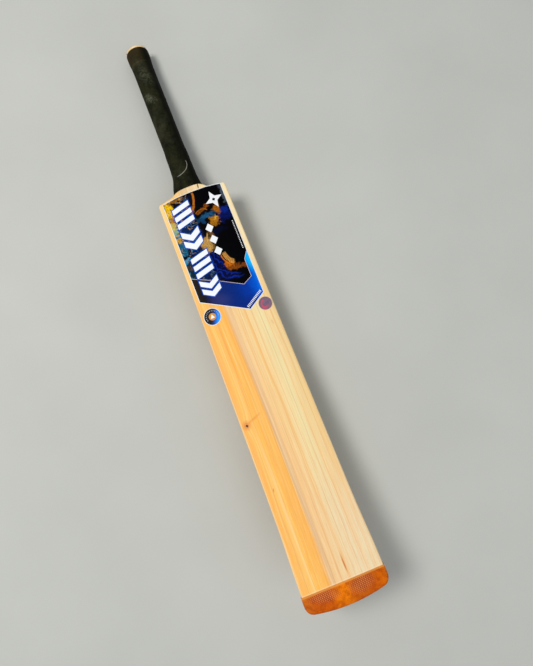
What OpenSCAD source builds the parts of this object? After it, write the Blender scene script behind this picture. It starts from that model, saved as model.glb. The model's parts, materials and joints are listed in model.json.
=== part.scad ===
// Cricket bat: willow blade with a cane handle spliced in, rubber grip,
// resin-bound cloth toe guard and three stickers on the face.
// It is laid out with the guarded toe at y = 0, the face up and the handle towards +y,
// then tilted so that it rests on its spine and on the end of the grip.

/* [Blade] */
// Width of the blade at the toe
blade_w = 108; // [104:1:110]
// Width of the blade along its middle
waist_w = 105.4; // [100:0.2:108]
// Width of the blade at the shoulders
shoulder_w = 103; // [98:0.5:105]
// Length from toe to shoulder corners
blade_len = 581; // [560:1:600]
// Depth of the lengthwise bow of the face
bow = 19.5; // [10:0.5:22]
// Height of the face's crown across the width
crown = 1.2; // [0.4:0.1:2.5]
// Full thickness at the highest point of the spine
spine_t = 61; // [52:0.5:65]
// Thickness of the edges beside that point
edge_t = 36; // [30:0.5:40]
// Thickness of the spine at the shoulders
shoulder_t = 36; // [35:0.5:40]
// Width of the flattened top of the spine
ridge_w = 16; // [12:1:22]

/* [Toe guard] */
// How far the cloth guard reaches up from the toe
guard_h = 26; // [24:0.5:36]
// Thickness of the guard
guard_t = 0.8; // [0.5:0.1:1.2]
// How far the toe curves back from its middle to its corners
toe_rise = 6; // [3:0.5:9]
// Radius of the toe corners seen from the front
toe_corner_r = 9; // [6:0.5:12]

/* [Handle] */
// Length from shoulder corners to the bare end of the handle
handle_len = 278; // [260:1:300]
// Radius of the bare cane handle
cane_r = 14; // [13:0.1:14.4]
// Thickness of the twine binding
twine_t = 0.8; // [0.5:0.1:1.2]
// Wall of the rubber grip
grip_t = 1.7; // [1.4:0.1:2.4]
// How far the grip swells over its root
root_swell = 0.8; // [0.4:0.1:1.2]
// How far the cane flares at the end of the handle
knob = 3.3; // [2:0.1:3.6]
// Length of bare cane beyond the grip
bare_end = 4.5; // [3:0.5:6]

/* [Splice] */
// Depth of the V below the shoulder corners
vee_len = 135; // [110:1:150]
// Half width of the V at its mouth
vee_half = 14.6; // [14.6:0.1:17]
// Thickness of each rubber spring strip
spring_t = 1.6; // [1:0.1:2]

/* [Stickers] */
// Thickness of the stickers
sticker_t = 0.3; // [0.2:0.05:0.5]
// Half width of the large sticker
sticker_half = 45; // [38:0.5:47]
// Diameter of the round sticker on the left
disc_left_d = 24.8; // [18:0.2:28]
// Diameter of the round sticker on the right
disc_right_d = 20; // [16:0.2:24]

/* [Show] */
// Which piece to draw

/* [Hidden] */

// Blade half widths and the stations of its lengthwise profile.
toe_half = blade_w / 2;
waist_half = waist_w / 2;
shoulder_half = shoulder_w / 2;
flare_from = 25;
flare_to = 108;
taper_from = 0.42 * blade_len;
swell_y = 0.36 * blade_len;
toe_spine_t = 27;
toe_edge_t = 19;
shoulder_edge_t = 20;
dome_h = 12.6;

// Rounding radii: face arris, back arris, toe ends and shoulder ends.
arris_face = 2.5;
arris_back = 5;
toe_end_face = 3;
toe_end_back = 7;
shoulder_end_face = 2;
shoulder_end_mid = 2.5;
shoulder_end_back = 9;
shoulder_corner_r = 4;
end_zone = 10;

// Handle heights along the bat and its axis below the face line.
axis_z = -shoulder_t / 2;
handle_end = blade_len + handle_len;
grip_end = handle_end - bare_end;
twine_from = blade_len + 32;
twine_to = handle_end - 46;
grip_r = cane_r + twine_t + grip_t;
root_r = grip_r + root_swell;
bore_r = cane_r + twine_t;
knob_r = cane_r + knob;
flare_steps = 48;
root_tuck = 0.2;
flare_skin = 0.08;

// Gap that keeps a thin skin clear of the facets under it.
skin_gap = 0.05;
sheet_gap = 0.03;

// Spine and edge thickness from toe to shoulder: [y, thickness].
spine_curve = [
    [0, toe_spine_t],
    [0.11 * blade_len, 0.62 * spine_t],
    [0.24 * blade_len, 0.87 * spine_t],
    [swell_y, spine_t],
    [0.50 * blade_len, 0.965 * spine_t],
    [0.65 * blade_len, 0.83 * spine_t],
    [0.81 * blade_len, 0.69 * spine_t],
    [0.93 * blade_len, 0.5 * (0.63 * spine_t + shoulder_t)],
    [blade_len, shoulder_t],
    [blade_len + 40, shoulder_t]
];
edge_curve = [
    [0, toe_edge_t],
    [0.11 * blade_len, 0.72 * edge_t],
    [0.24 * blade_len, 0.93 * edge_t],
    [swell_y, edge_t],
    [0.50 * blade_len, 0.97 * edge_t],
    [0.65 * blade_len, 0.84 * edge_t],
    [0.81 * blade_len, 0.69 * edge_t],
    [0.93 * blade_len, 0.58 * edge_t],
    [blade_len, shoulder_edge_t],
    [blade_len + 40, shoulder_edge_t]
];

// Rise of the shoulder line above the corners: [distance from the middle, rise].
shoulder_curve = [
    [0, dome_h],
    [12, 0.96 * dome_h],
    [18, 0.87 * dome_h],
    [22, 0.75 * dome_h],
    [26, 0.56 * dome_h],
    [30, 0.41 * dome_h],
    [38, 0.26 * dome_h],
    [60, 0]
];

// The right shoulder is sanded lower than the left: [distance to the right, drop].
shoulder_drop = [
    [0, 0],
    [12, 0],
    [17, 1],
    [22, 2.9],
    [26, 4.2],
    [30, 3.2],
    [36, 2.3],
    [44, 1.7],
    [60, 0.8]
];

// Smooth curve through the rows of a table.
function seg(tab, y, i = 0) =
    (i >= len(tab) - 2 || y < tab[i + 1][0]) ? i : seg(tab, y, i + 1);
function slope(tab, i) =
    let (a = max(i - 1, 0), b = min(i + 1, len(tab) - 1))
    (tab[b][1] - tab[a][1]) / (tab[b][0] - tab[a][0]);
function curve(tab, y) =
    let (
        i = seg(tab, y),
        h = tab[i + 1][0] - tab[i][0],
        u = (y - tab[i][0]) / h,
        m0 = slope(tab, i) * h,
        m1 = slope(tab, i + 1) * h,
        u2 = u * u,
        u3 = u2 * u
    )
    (2 * u3 - 3 * u2 + 1) * tab[i][1] + (u3 - 2 * u2 + u) * m0
    + (3 * u2 - 2 * u3) * tab[i + 1][1] + (u3 - u2) * m1;
function clamp(v, lo, hi) = min(max(v, lo), hi);
function ease(u) = let (v = clamp(u, 0, 1)) v * v * (3 - 2 * v);
function mix(a, b, u) = a + (b - a) * u;

// Height lost at a distance d inside a corner rounded with radius r.
function round_loss(d, r) = d >= r ? 0 : r - sqrt(max(r * r - (r - d) * (r - d), 0));

// Plan outline of the blade: half width, toe line and shoulder line.
function half_at(y) =
    y < taper_from
    ? mix(toe_half, waist_half, ease((y - flare_from) / (flare_to - flare_from)))
    : mix(waist_half, shoulder_half, clamp((y - taper_from) / (blade_len - taper_from), 0, 1));
function toe_line(x) =
    guard_t + toe_rise * (x / toe_half) * (x / toe_half)
    + round_loss(toe_half - abs(x), toe_corner_r);
function shoulder_line(x) =
    blade_len + curve(shoulder_curve, abs(x)) - curve(shoulder_drop, max(x, 0))
    - round_loss(max(shoulder_half - abs(x), 0), shoulder_corner_r);

// Face line and back line in cross section, f = -1..1 across the blade.
function bow_z(y) =
    let (u = clamp(2 * y / blade_len - 1, -1, 1))
    -bow * (1 - u * u);
function face_z(f, y) = bow_z(y) + crown * (1 - f * f);
function flank(u) = 0.55 * u + 0.225 * (1 - cos(180 * u));
function back_z(f, y) =
    let (
        ridge_f = ridge_w / blade_w,
        e = curve(edge_curve, y),
        s = curve(spine_curve, y),
        g = abs(f) <= ridge_f ? 1 : flank((1 - abs(f)) / (1 - ridge_f))
    )
    bow_z(y) - mix(e, s, g);

// Columns across half of the blade, close together near the arrises.
half_cols = [
    0, 0.148, 0.26, 0.34, 0.40, 0.46, 0.54, 0.64, 0.75,
    0.835, 0.88, 0.92, 0.954, 0.977, 0.992, 1
];
last_col = len(half_cols) - 1;
cols = concat(
    [for (i = [last_col:-1:1]) -half_cols[i]],
    half_cols
);
core_cols = [for (f = cols) if (abs(f) < 0.35) f];

// Stations: [zone, value], zone 0 = distance from the toe line,
// zone 1 = share of the middle, zone 2 = distance from the shoulder line.
end_steps = [0, 0.35, 1.1, 2.4, 4.2, 7];
middle_n = 36;
toe_stations = [for (d = end_steps) [0, d]];
middle_stations = [for (i = [0:middle_n]) [1, i / middle_n]];
shoulder_stations = [for (i = [len(end_steps) - 1:-1:0]) [2, end_steps[i]]];
stations = concat(toe_stations, middle_stations, shoulder_stations);
core_from = floor(middle_n * (1 - (vee_len + 30) / blade_len));
core_stations = concat(
    [for (i = [core_from:middle_n]) [1, i / middle_n]],
    shoulder_stations
);

// One point of the blade surface; off swells it outward for the toe guard.
function near_y(st) =
    st[0] == 0 ? st[1]
    : st[0] == 1 ? mix(end_zone, blade_len - end_zone, st[1])
    : blade_len - st[1];
function surface_point(f, st, top, off = 0) =
    let (
        w = half_at(near_y(st)),
        x = f * w,
        lo = toe_line(x),
        hi = shoulder_line(x),
        y = st[0] == 0 ? lo + st[1]
            : st[0] == 1 ? mix(lo + end_zone, hi - end_zone, st[1])
            : st[0] == 2 ? hi - st[1]
            : mix(lo + end_zone, guard_h, st[1]),
        d_toe = y - lo,
        d_sh = hi - y,
        rim = w * (1 - abs(f)),
        rb = mix(shoulder_end_mid, shoulder_end_back, ease((abs(f) - 0.45) / 0.3)),
        z_face = face_z(f, y) - round_loss(rim, arris_face)
            - round_loss(d_toe, toe_end_face) - round_loss(d_sh, shoulder_end_face) + off,
        z_back = back_z(f, y) + round_loss(rim, arris_back)
            + round_loss(d_toe, toe_end_back) + round_loss(d_sh, rb) - off
    )
    [f * (w + off), st[0] == 0 ? y - off * (1 - st[1] / end_zone) : y, top ? z_face : z_back];

// A closed loop of points around the section at one station.
function loop(columns, st, off = 0) = concat(
    [for (f = columns) surface_point(f, st, true, off)],
    [for (i = [len(columns) - 1:-1:0]) surface_point(columns[i], st, false, off)]
);

// Triangles between neighbouring loops, and across a loop's open end.
function side_faces(n_loops, n, base = 0, flip = false) = [
    for (k = [0:n_loops - 2], j = [0:n - 1])
    let (
        a = base + k * n + j,
        b = base + k * n + (j + 1) % n,
        c = b + n,
        d = a + n
    )
    each (flip ? [[a, c, d], [a, b, c]] : [[a, d, c], [a, c, b]])
];
function cap_faces(n, base, flip = false) = [
    for (j = [0:n / 2 - 2])
    let (
        a = base + j,
        b = base + j + 1,
        c = base + n - 2 - j,
        d = base + n - 1 - j
    )
    each (flip ? [[a, c, b], [a, d, c]] : [[a, b, c], [a, c, d]])
];
module skin(loops) {
    n = len(loops[0]);
    m = len(loops);
    polyhedron(
        points = [for (l = loops) each l],
        faces = concat(
            cap_faces(n, 0),
            side_faces(m, n),
            cap_faces(n, (m - 1) * n, true)
        ),
        convexity = 6
    );
}

// A thin sheet on the face between two heights above it.
function face_half(y) = half_at(y);
module face_sheet(x0, x1, y0, y1, nx, ny, low, high) {
    loops = [
        for (k = [0:ny])
        let (y = mix(y0, y1, k / ny))
        concat(
            [for (i = [0:nx])
                let (x = mix(x0, x1, i / nx))
                [x, y, face_z(x / face_half(y), y) + high]],
            [for (i = [nx:-1:0])
                let (x = mix(x0, x1, i / nx))
                [x, y, face_z(x / face_half(y), y) + low]]
        )
    ];
    skin(loops);
}

// Flared root of the handle, wider on its left: [y above the shoulder corners,
// extra half width, shift to the left].
root_rows = [
    [0, 8.75, 1.75], [6, 7.8, 2.2], [12, 6.6, 2.6], [18, 5.25, 2.75],
    [24, 4.05, 2.55], [30, 2.75, 1.85], [36, 1.6, 1.2], [42, 0.85, 0.65],
    [49, 0.5, 0.4], [60, 0.15, 0.15], [70, 0, 0], [80, 0, 0]
];
root_curve = [for (r = root_rows) [r[0], r[1]]];
lean_curve = [for (r = root_rows) [r[0], r[2]]];
module root_flare(base_r, rz, y0, y1, steps) {
    function ring(y) = [
        for (j = [0:flare_steps - 1])
        let (a = 360 * j / flare_steps)
        [
            -(base_r + curve(root_curve, y)) * cos(a) - curve(lean_curve, y),
            blade_len + y,
            axis_z + rz * sin(a)
        ]
    ];
    loops = [for (k = [0:steps]) ring(mix(y0, y1, k / steps))];
    n = flare_steps;
    m = steps + 1;
    polyhedron(
        points = [for (l = loops) each l],
        faces = concat(
            side_faces(m, n),
            [[for (j = [0:n - 1]) j]],
            [[for (j = [n - 1:-1:0]) (m - 1) * n + j]]
        ),
        convexity = 4
    );
}

// A solid of revolution about the handle axis from [radius, y] points.
module turned(profile) {
    translate([0, 0, axis_z])
        rotate([-90, 0, 0])
            rotate_extrude($fn = 96)
                polygon(profile);
}
module tube(r_in, r_out, y0, y1) {
    turned([[r_in, y0], [r_out, y0], [r_out, y1], [r_in, y1]]);
}

// Plan area below the shoulder line, as tall as the blade is thick.
slab_top = 12;
slab_low = -90;
module shoulder_plug(half) {
    picked = [for (f = cols) if (abs(f) * shoulder_half <= half) f];
    translate([0, 0, slab_low])
        linear_extrude(height = slab_top - slab_low)
            polygon(concat(
                [for (f = picked) [f * shoulder_half, shoulder_line(f * shoulder_half)]],
                [[half, blade_len - 40], [-half, blade_len - 40]]
            ));
}

// The V-shaped prism of the splice, right through the blade.
tip_half = 0.8;
tip_y = blade_len - vee_len;
mouth_y = blade_len + dome_h + 2;
module vee() {
    translate([0, 0, slab_low])
        linear_extrude(height = slab_top - slab_low)
            polygon([
                [-tip_half, tip_y],
                [tip_half, tip_y],
                [vee_half, mouth_y],
                [-vee_half, mouth_y]
            ]);
}

// Flared end of the cane and the end of the grip over it: [radius, y].
knob_profile = [
    [cane_r, twine_to],
    [cane_r + 0.3 * knob, handle_end - 28],
    [cane_r + 0.65 * knob, handle_end - 19],
    [cane_r + 0.78 * knob, grip_end - 2]
];
bare_profile = [
    [cane_r + 0.9 * knob, grip_end],
    [knob_r, handle_end - 2],
    [knob_r - 0.3, handle_end - 0.8],
    [knob_r - 1.2, handle_end]
];
cover_profile = [
    [grip_r, twine_to],
    [grip_r + 0.4, handle_end - 28],
    [grip_r + 1.3, handle_end - 19],
    [grip_r + 1.5, grip_end - 4],
    [grip_r + 1.2, grip_end - 1.2],
    [grip_r + 0.8, grip_end]
];

// Bare cane handle, flared at its end.
module handle_round() {
    turned(concat(
        [[0, blade_len + 2], [cane_r, blade_len + 2]],
        knob_profile,
        bare_profile,
        [[0, handle_end]]
    ));
}

// Blade: shaped outside, side roots of the handle, less the splice.
module blade_shape() {
    difference() {
        union() {
            skin([for (st = stations) loop(cols, st)]);
            root_flare(cane_r, cane_r - root_tuck, -6, 30, 9);
        }
        vee();
        translate([0, blade_len - 2, axis_z])
            rotate([-90, 0, 0])
                cylinder(r = cane_r, h = 60, $fn = 96);
    }
}

// Whole wooden core of the handle: V wedge below, round handle above.
module splice_core() {
    intersection() {
        vee();
        skin([for (st = core_stations) loop(core_cols, st)]);
    }
    handle_round();
}

// One cane stave: a cell of the core, col = -1..1, z measured from the axis.
col_split = cane_r / 3;
far_out = 60;
row_edge = (2 * cane_r - 3 * spring_t) / 4;
spring_mid = row_edge + spring_t;
function col_lo(col) = col < 0 ? -far_out : col == 0 ? -col_split : col_split;
function col_hi(col) = col < 0 ? -col_split : col == 0 ? col_split : far_out;
module cell(col_a, col_b, z_low, z_high) {
    intersection() {
        splice_core();
        translate([col_lo(col_a), tip_y - 10, axis_z + z_low])
            cube([
                col_hi(col_b) - col_lo(col_a),
                handle_end - tip_y + 20,
                z_high - z_low
            ]);
    }
}
module stave(row, col) {
    lows = [spring_mid + spring_t / 2, spring_t / 2, -spring_mid + spring_t / 2, -far_out];
    highs = [far_out, spring_mid - spring_t / 2, -spring_t / 2, -spring_mid - spring_t / 2];
    cell(col, col, lows[row], highs[row]);
}
module spring_strip(level) {
    z = level * spring_mid;
    cell(-1, 1, z - spring_t / 2, z + spring_t / 2);
}

// Rubber grip: tube with a flared root, stretched over the flared end.
module grip_shape() {
    difference() {
        union() {
            turned(concat(
                [
                    [0, blade_len + 34],
                    [root_r, blade_len + 34],
                    [root_r, blade_len + 74],
                    [grip_r, blade_len + 92]
                ],
                cover_profile,
                [[0, grip_end]]
            ));
            root_flare(root_r + flare_skin, root_r + flare_skin, -4, 62, 16);
        }
        turned(concat(
            [
                [0, blade_len - 10],
                [cane_r, blade_len - 10],
                [cane_r, twine_from],
                [bore_r, twine_from],
                [bore_r, twine_to]
            ],
            knob_profile,
            [
                [cane_r + 0.9 * knob, grip_end],
                [cane_r + 0.9 * knob, handle_end],
                [0, handle_end]
            ]
        ));
        root_flare(cane_r, cane_r - root_tuck, -6, 30, 9);
        shoulder_plug(40);
    }
}

// Cloth guard moulded over the toe.
module guard_shape() {
    sts = concat(toe_stations, [for (i = [0:4]) [3, i / 4]]);
    outer = [for (st = sts) loop(cols, st, guard_t + skin_gap)];
    inner = [for (st = sts) loop(cols, st, skin_gap)];
    n = len(outer[0]);
    m = len(sts);
    last = (m - 1) * n;
    inner_base = m * n;
    polyhedron(
        points = concat([for (l = outer) each l], [for (l = inner) each l]),
        faces = concat(
            cap_faces(n, 0),
            side_faces(m, n),
            cap_faces(n, inner_base, true),
            side_faces(m, n, inner_base, true),
            [for (j = [0:n - 1])
                let (
                    a = last + j,
                    b = last + (j + 1) % n,
                    c = inner_base + b,
                    d = inner_base + a
                )
                each [[a, d, c], [a, c, b]]]
        ),
        convexity = 6
    );
}

// Resting pose: tilt until spine and grip end touch the floor together.
function low_spine(a) = min([
    for (i = [0:60])
    let (y = blade_len * i / 60)
    -y * sin(a) + back_z(0, y) * cos(a)
]);
function low_grip(a) = min([
    for (p = concat(cover_profile, bare_profile))
    -p[1] * sin(a) + (axis_z - p[0]) * cos(a)
]);
function solve_tilt(lo, hi, n) =
    let (mid = (lo + hi) / 2)
    n == 0 ? mid
    : low_grip(mid) > low_spine(mid) ? solve_tilt(mid, hi, n - 1)
    : solve_tilt(lo, mid, n - 1);
tilt = solve_tilt(0, 8, 30);
floor_drop = low_spine(tilt);
function tipped_y(p) = p[1] * cos(tilt) + p[2] * sin(tilt);
toe_reach = min([
    for (st = toe_stations, f = cols, top = [true, false])
    tipped_y(surface_point(f, st, top, guard_t + skin_gap))
]);
end_reach = max([for (p = bare_profile) tipped_y([0, p[1], axis_z + p[0]])]);
middle_y = (toe_reach + end_reach) / 2;
module rest() {
    translate([0, -middle_y, -floor_drop])
        rotate([-tilt, 0, 0])
            children();
}

// Pieces.
willow = [0.93, 0.79, 0.54];
cane = [0.87, 0.71, 0.45];
spring_rubber = [0.35, 0.16, 0.12];

module blade() {
    color(willow)
        rest()
            blade_shape();
}
module toe_guard() {
    color([0.76, 0.36, 0.07])
        rest()
            guard_shape();
}
module grip() {
    color([0.09, 0.085, 0.075])
        rest()
            grip_shape();
}
module twine_binding() {
    color([0.84, 0.79, 0.68])
        rest()
            tube(cane_r, bore_r, twine_from, twine_to);
}
module cane_face_left() {
    color(cane)
        rest()
            stave(0, -1);
}
module cane_face_mid() {
    color(cane)
        rest()
            stave(0, 0);
}
module cane_face_right() {
    color(cane)
        rest()
            stave(0, 1);
}
module cane_fore_left() {
    color(cane)
        rest()
            stave(1, -1);
}
module cane_fore_mid() {
    color(cane)
        rest()
            stave(1, 0);
}
module cane_fore_right() {
    color(cane)
        rest()
            stave(1, 1);
}
module cane_aft_left() {
    color(cane)
        rest()
            stave(2, -1);
}
module cane_aft_mid() {
    color(cane)
        rest()
            stave(2, 0);
}
module cane_aft_right() {
    color(cane)
        rest()
            stave(2, 1);
}
module cane_back_left() {
    color(cane)
        rest()
            stave(3, -1);
}
module cane_back_mid() {
    color(cane)
        rest()
            stave(3, 0);
}
module cane_back_right() {
    color(cane)
        rest()
            stave(3, 1);
}
module spring_fore() {
    color(spring_rubber)
        rest()
            spring_strip(1);
}
module spring_core() {
    color(spring_rubber)
        rest()
            spring_strip(0);
}
module spring_aft() {
    color(spring_rubber)
        rest()
            spring_strip(-1);
}

// Large sticker: pointed lower edge, top edge following the shoulders.
sticker_top = blade_len - 0.2;
sticker_left = sticker_half + 0.6;
sticker_side_y = blade_len - 155.2;
sticker_tip = [18.5, blade_len - 191.1];
sticker_right_y = blade_len - 174.2;
module face_sticker() {
    color([0.07, 0.09, 0.22])
        rest()
            intersection() {
                face_sheet(-48, 48, sticker_tip[1] - 4, blade_len + 6, 12, 16,
                    sheet_gap, sheet_gap + sticker_t);
                translate([0, 0, -40])
                    linear_extrude(height = 60)
                        polygon([
                            [-sticker_left, sticker_side_y],
                            [sticker_tip[0], sticker_tip[1]],
                            [sticker_half, sticker_right_y],
                            [sticker_half, sticker_top - 0.3],
                            [sticker_half / 2, sticker_top + 2.8],
                            [0, sticker_top + 3.2],
                            [-sticker_half / 2, sticker_top + 2.5],
                            [-sticker_left, sticker_top - 0.6]
                        ]);
            }
}

// Round stickers: a disc cut from the same thin sheet.
module disc_sticker(x, y, d) {
    pad = d / 2 + 1.5;
    intersection() {
        face_sheet(x - pad, x + pad, y - pad, y + pad, 6, 4, sheet_gap, sheet_gap + sticker_t);
        translate([x, y, -40])
            cylinder(d = d, h = 60, $fn = 64);
    }
}
disc_left_x = -35.6;
disc_right_x = 40.8;
module disc_left() {
    color([0.05, 0.32, 0.80])
        rest()
            disc_sticker(disc_left_x, blade_len - 180.6, disc_left_d);
}
module disc_right() {
    color([0.52, 0.36, 0.50])
        rest()
            disc_sticker(disc_right_x, blade_len - 190.2, disc_right_d);
}

blade();
toe_guard();
grip();
twine_binding();
cane_face_left();
cane_face_mid();
cane_face_right();
cane_fore_left();
cane_fore_mid();
cane_fore_right();
cane_aft_left();
cane_aft_mid();
cane_aft_right();
cane_back_left();
cane_back_mid();
cane_back_right();
spring_fore();
spring_core();
spring_aft();
face_sticker();
disc_left();
disc_right();
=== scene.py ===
"""Cricket bat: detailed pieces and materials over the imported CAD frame.

Everything is laid out in the bat's own millimetres (x across the blade, y from toe to
handle, z out of the face) and then placed by the resting pose that the record's grip
mount states.
"""
import json
import math
import bpy
import bmesh
import numpy as np
from mathutils import Matrix, Vector


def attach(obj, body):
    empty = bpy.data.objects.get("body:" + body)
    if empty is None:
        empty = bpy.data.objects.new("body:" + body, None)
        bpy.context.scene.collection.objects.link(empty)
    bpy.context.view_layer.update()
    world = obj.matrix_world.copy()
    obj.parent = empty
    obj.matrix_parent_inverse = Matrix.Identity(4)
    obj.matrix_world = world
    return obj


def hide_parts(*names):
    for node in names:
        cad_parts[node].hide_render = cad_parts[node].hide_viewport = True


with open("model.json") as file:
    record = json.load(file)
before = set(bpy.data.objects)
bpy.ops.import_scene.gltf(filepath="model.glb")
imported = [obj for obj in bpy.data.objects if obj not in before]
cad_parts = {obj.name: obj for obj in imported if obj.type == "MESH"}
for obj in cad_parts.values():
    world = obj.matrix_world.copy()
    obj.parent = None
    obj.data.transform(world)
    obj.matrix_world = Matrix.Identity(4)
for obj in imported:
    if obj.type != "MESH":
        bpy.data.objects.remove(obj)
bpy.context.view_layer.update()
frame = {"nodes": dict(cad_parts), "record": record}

SCENE = bpy.context.scene
MM = 0.001

# ---------------------------------------------------------------- driving sizes, mm
BLADE_W, WAIST_W, SHOULDER_W, BLADE_LEN = 108.0, 105.4, 103.0, 581.0
BOW, CROWN = 19.5, 1.2
SPINE_T, EDGE_T, SHOULDER_T, RIDGE_W = 61.0, 36.0, 36.0, 16.0
TOE_SPINE_T, TOE_EDGE_T, SHOULDER_EDGE_T = 27.0, 19.0, 20.0
TOE_RISE, TOE_CORNER_R, DOME_H, SHOULDER_CORNER_R = 6.0, 9.0, 12.6, 4.0
GUARD_H, GUARD_T = 26.0, 0.8
HANDLE_LEN, CANE_R, TWINE_T, GRIP_T = 278.0, 14.0, 0.8, 1.7
ROOT_SWELL, KNOB, BARE_END = 0.8, 3.3, 4.5
VEE_LEN, VEE_HALF, TIP_HALF = 135.0, 14.6, 0.8
STICKER_T, SHEET_GAP, SKIN_GAP = 0.3, 0.03, 0.05
STICKER_HALF = 45.0

TOE_HALF, WAIST_HALF, SHOULDER_HALF = BLADE_W / 2, WAIST_W / 2, SHOULDER_W / 2
FLARE_FROM, FLARE_TO = 25.0, 108.0
TAPER_FROM, SWELL_Y = 0.42 * BLADE_LEN, 0.36 * BLADE_LEN
BACK_SLOPE = 0.55
ARRIS_FACE, ARRIS_BACK = 2.5, 5.0
TOE_END_FACE, TOE_END_BACK = 3.0, 7.0
SHOULDER_END_FACE, SHOULDER_END_MID, SHOULDER_END_BACK = 2.0, 2.5, 9.0
END_ZONE = 10.0
AXIS_Z = -SHOULDER_T / 2
HANDLE_END = BLADE_LEN + HANDLE_LEN
GRIP_END = HANDLE_END - BARE_END
TWINE_TO = HANDLE_END - 46
ROOT_TO, PLAIN_FROM = BLADE_LEN + 74, BLADE_LEN + 92
SWELL_FROM, SWELL_TO = HANDLE_END - 28, HANDLE_END - 19
GRIP_R = CANE_R + TWINE_T + GRIP_T
ROOT_R = GRIP_R + ROOT_SWELL
TIP_Y = BLADE_LEN - VEE_LEN
MOUTH_Y = BLADE_LEN + DOME_H + 2

# Resting pose: the grip mount gives the bat's axis and one point on it.
grip_mount = next(m for m in frame["record"]["mounts"] if m["name"] == "grip_hold")
along = Vector(grip_mount["axis"])
TILT = math.atan2(-along.z, along.y)
GRIP_MID = (PLAIN_FROM + TWINE_TO) / 2
TURN = Matrix.Rotation(-TILT, 3, "X")
SHIFT = Vector(grip_mount["pos_m"]) - TURN @ (Vector((0, GRIP_MID, AXIS_Z)) * MM)


def to_row(points_mm):
    """Bat millimetres to row-frame metres."""
    p = np.asarray(points_mm, float) * MM
    return p @ np.array(TURN).T + np.array(SHIFT)


# ---------------------------------------------------------------- camera
CAM_AT = Vector((13.25, 207.81, 700.52))
CAM_LOOK = Vector((0.03482, 0.23557, -0.97123))
CAM_UP = Vector((0.36736, 0.90077, 0.23165))
CAM_LENS, CAM_SHIFT = 28.378, -0.0355


def make_camera():
    data = bpy.data.cameras.new("camera")
    data.sensor_width = 36.0
    data.lens = CAM_LENS
    data.shift_y = CAM_SHIFT
    data.clip_start = 0.01
    cam = bpy.data.objects.new("camera", data)
    SCENE.collection.objects.link(cam)
    look = (TURN @ CAM_LOOK).normalized()
    up = TURN @ CAM_UP
    right = look.cross(up).normalized()
    up = right.cross(look).normalized()
    place = Matrix((right, up, -look)).transposed().to_4x4()
    place.translation = Vector(to_row([CAM_AT])[0])
    cam.matrix_world = place
    SCENE.camera = cam


make_camera()

# ---------------------------------------------------------------- shape of the blade
SPINE_CURVE = [
    (0, TOE_SPINE_T), (0.11 * BLADE_LEN, 0.62 * SPINE_T), (0.24 * BLADE_LEN, 0.87 * SPINE_T),
    (SWELL_Y, SPINE_T), (0.50 * BLADE_LEN, 0.965 * SPINE_T), (0.65 * BLADE_LEN, 0.83 * SPINE_T),
    (0.81 * BLADE_LEN, 0.69 * SPINE_T), (0.93 * BLADE_LEN, 0.5 * (0.63 * SPINE_T + SHOULDER_T)),
    (BLADE_LEN, SHOULDER_T), (BLADE_LEN + 40, SHOULDER_T),
]
EDGE_CURVE = [
    (0, TOE_EDGE_T), (0.11 * BLADE_LEN, 0.72 * EDGE_T), (0.24 * BLADE_LEN, 0.93 * EDGE_T),
    (SWELL_Y, EDGE_T), (0.50 * BLADE_LEN, 0.97 * EDGE_T), (0.65 * BLADE_LEN, 0.84 * EDGE_T),
    (0.81 * BLADE_LEN, 0.69 * EDGE_T), (0.93 * BLADE_LEN, 0.58 * EDGE_T),
    (BLADE_LEN, SHOULDER_EDGE_T), (BLADE_LEN + 40, SHOULDER_EDGE_T),
]
SHOULDER_CURVE = [
    (0, DOME_H), (12, 0.96 * DOME_H), (18, 0.87 * DOME_H), (22, 0.75 * DOME_H),
    (26, 0.56 * DOME_H), (30, 0.41 * DOME_H), (38, 0.26 * DOME_H), (60, 0),
]
SHOULDER_DROP = [(0, 0), (12, 0), (17, 1), (22, 2.9), (26, 4.2), (30, 3.2), (36, 2.3), (44, 1.7),
                 (60, 0.8)]
# Flared root of the handle: y above the shoulder corners, extra half width, shift left.
ROOT_ROWS = [
    (0, 8.75, 1.75), (6, 7.8, 2.2), (12, 6.6, 2.6), (18, 5.25, 2.75), (24, 4.05, 2.55),
    (30, 2.75, 1.85), (36, 1.6, 1.2), (42, 0.85, 0.65), (49, 0.5, 0.4), (60, 0.15, 0.15),
    (70, 0, 0), (80, 0, 0),
]
ROOT_CURVE = [(y, extra) for y, extra, shift in ROOT_ROWS]
LEAN_CURVE = [(y, shift) for y, extra, shift in ROOT_ROWS]


def curve(tab, y):
    """Smooth curve through a table's rows, the same as the CAD's."""
    t = np.array(tab, float)
    y = np.asarray(y, float)
    i = np.clip(np.searchsorted(t[:, 0], y, side="right") - 1, 0, len(t) - 2)
    lo = np.maximum(np.arange(len(t)) - 1, 0)
    hi = np.minimum(np.arange(len(t)) + 1, len(t) - 1)
    slope = (t[hi, 1] - t[lo, 1]) / (t[hi, 0] - t[lo, 0])
    h = t[i + 1, 0] - t[i, 0]
    u = (y - t[i, 0]) / h
    u2, u3 = u * u, u * u * u
    return (
        (2 * u3 - 3 * u2 + 1) * t[i, 1] + (u3 - 2 * u2 + u) * slope[i] * h
        + (3 * u2 - 2 * u3) * t[i + 1, 1] + (u3 - u2) * slope[i + 1] * h
    )


def mix(a, b, u):
    return a + (b - a) * u


def ease(u):
    v = np.clip(u, 0, 1)
    return v * v * (3 - 2 * v)


def round_loss(d, r):
    d = np.clip(d, 0, None)
    return np.where(d >= r, 0.0, r - np.sqrt(np.clip(r * r - (r - d) ** 2, 0, None)))


def half_at(y):
    low = mix(TOE_HALF, WAIST_HALF, ease((y - FLARE_FROM) / (FLARE_TO - FLARE_FROM)))
    high = mix(WAIST_HALF, SHOULDER_HALF,
               np.clip((y - TAPER_FROM) / (BLADE_LEN - TAPER_FROM), 0, 1))
    return np.where(y < TAPER_FROM, low, high)


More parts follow.
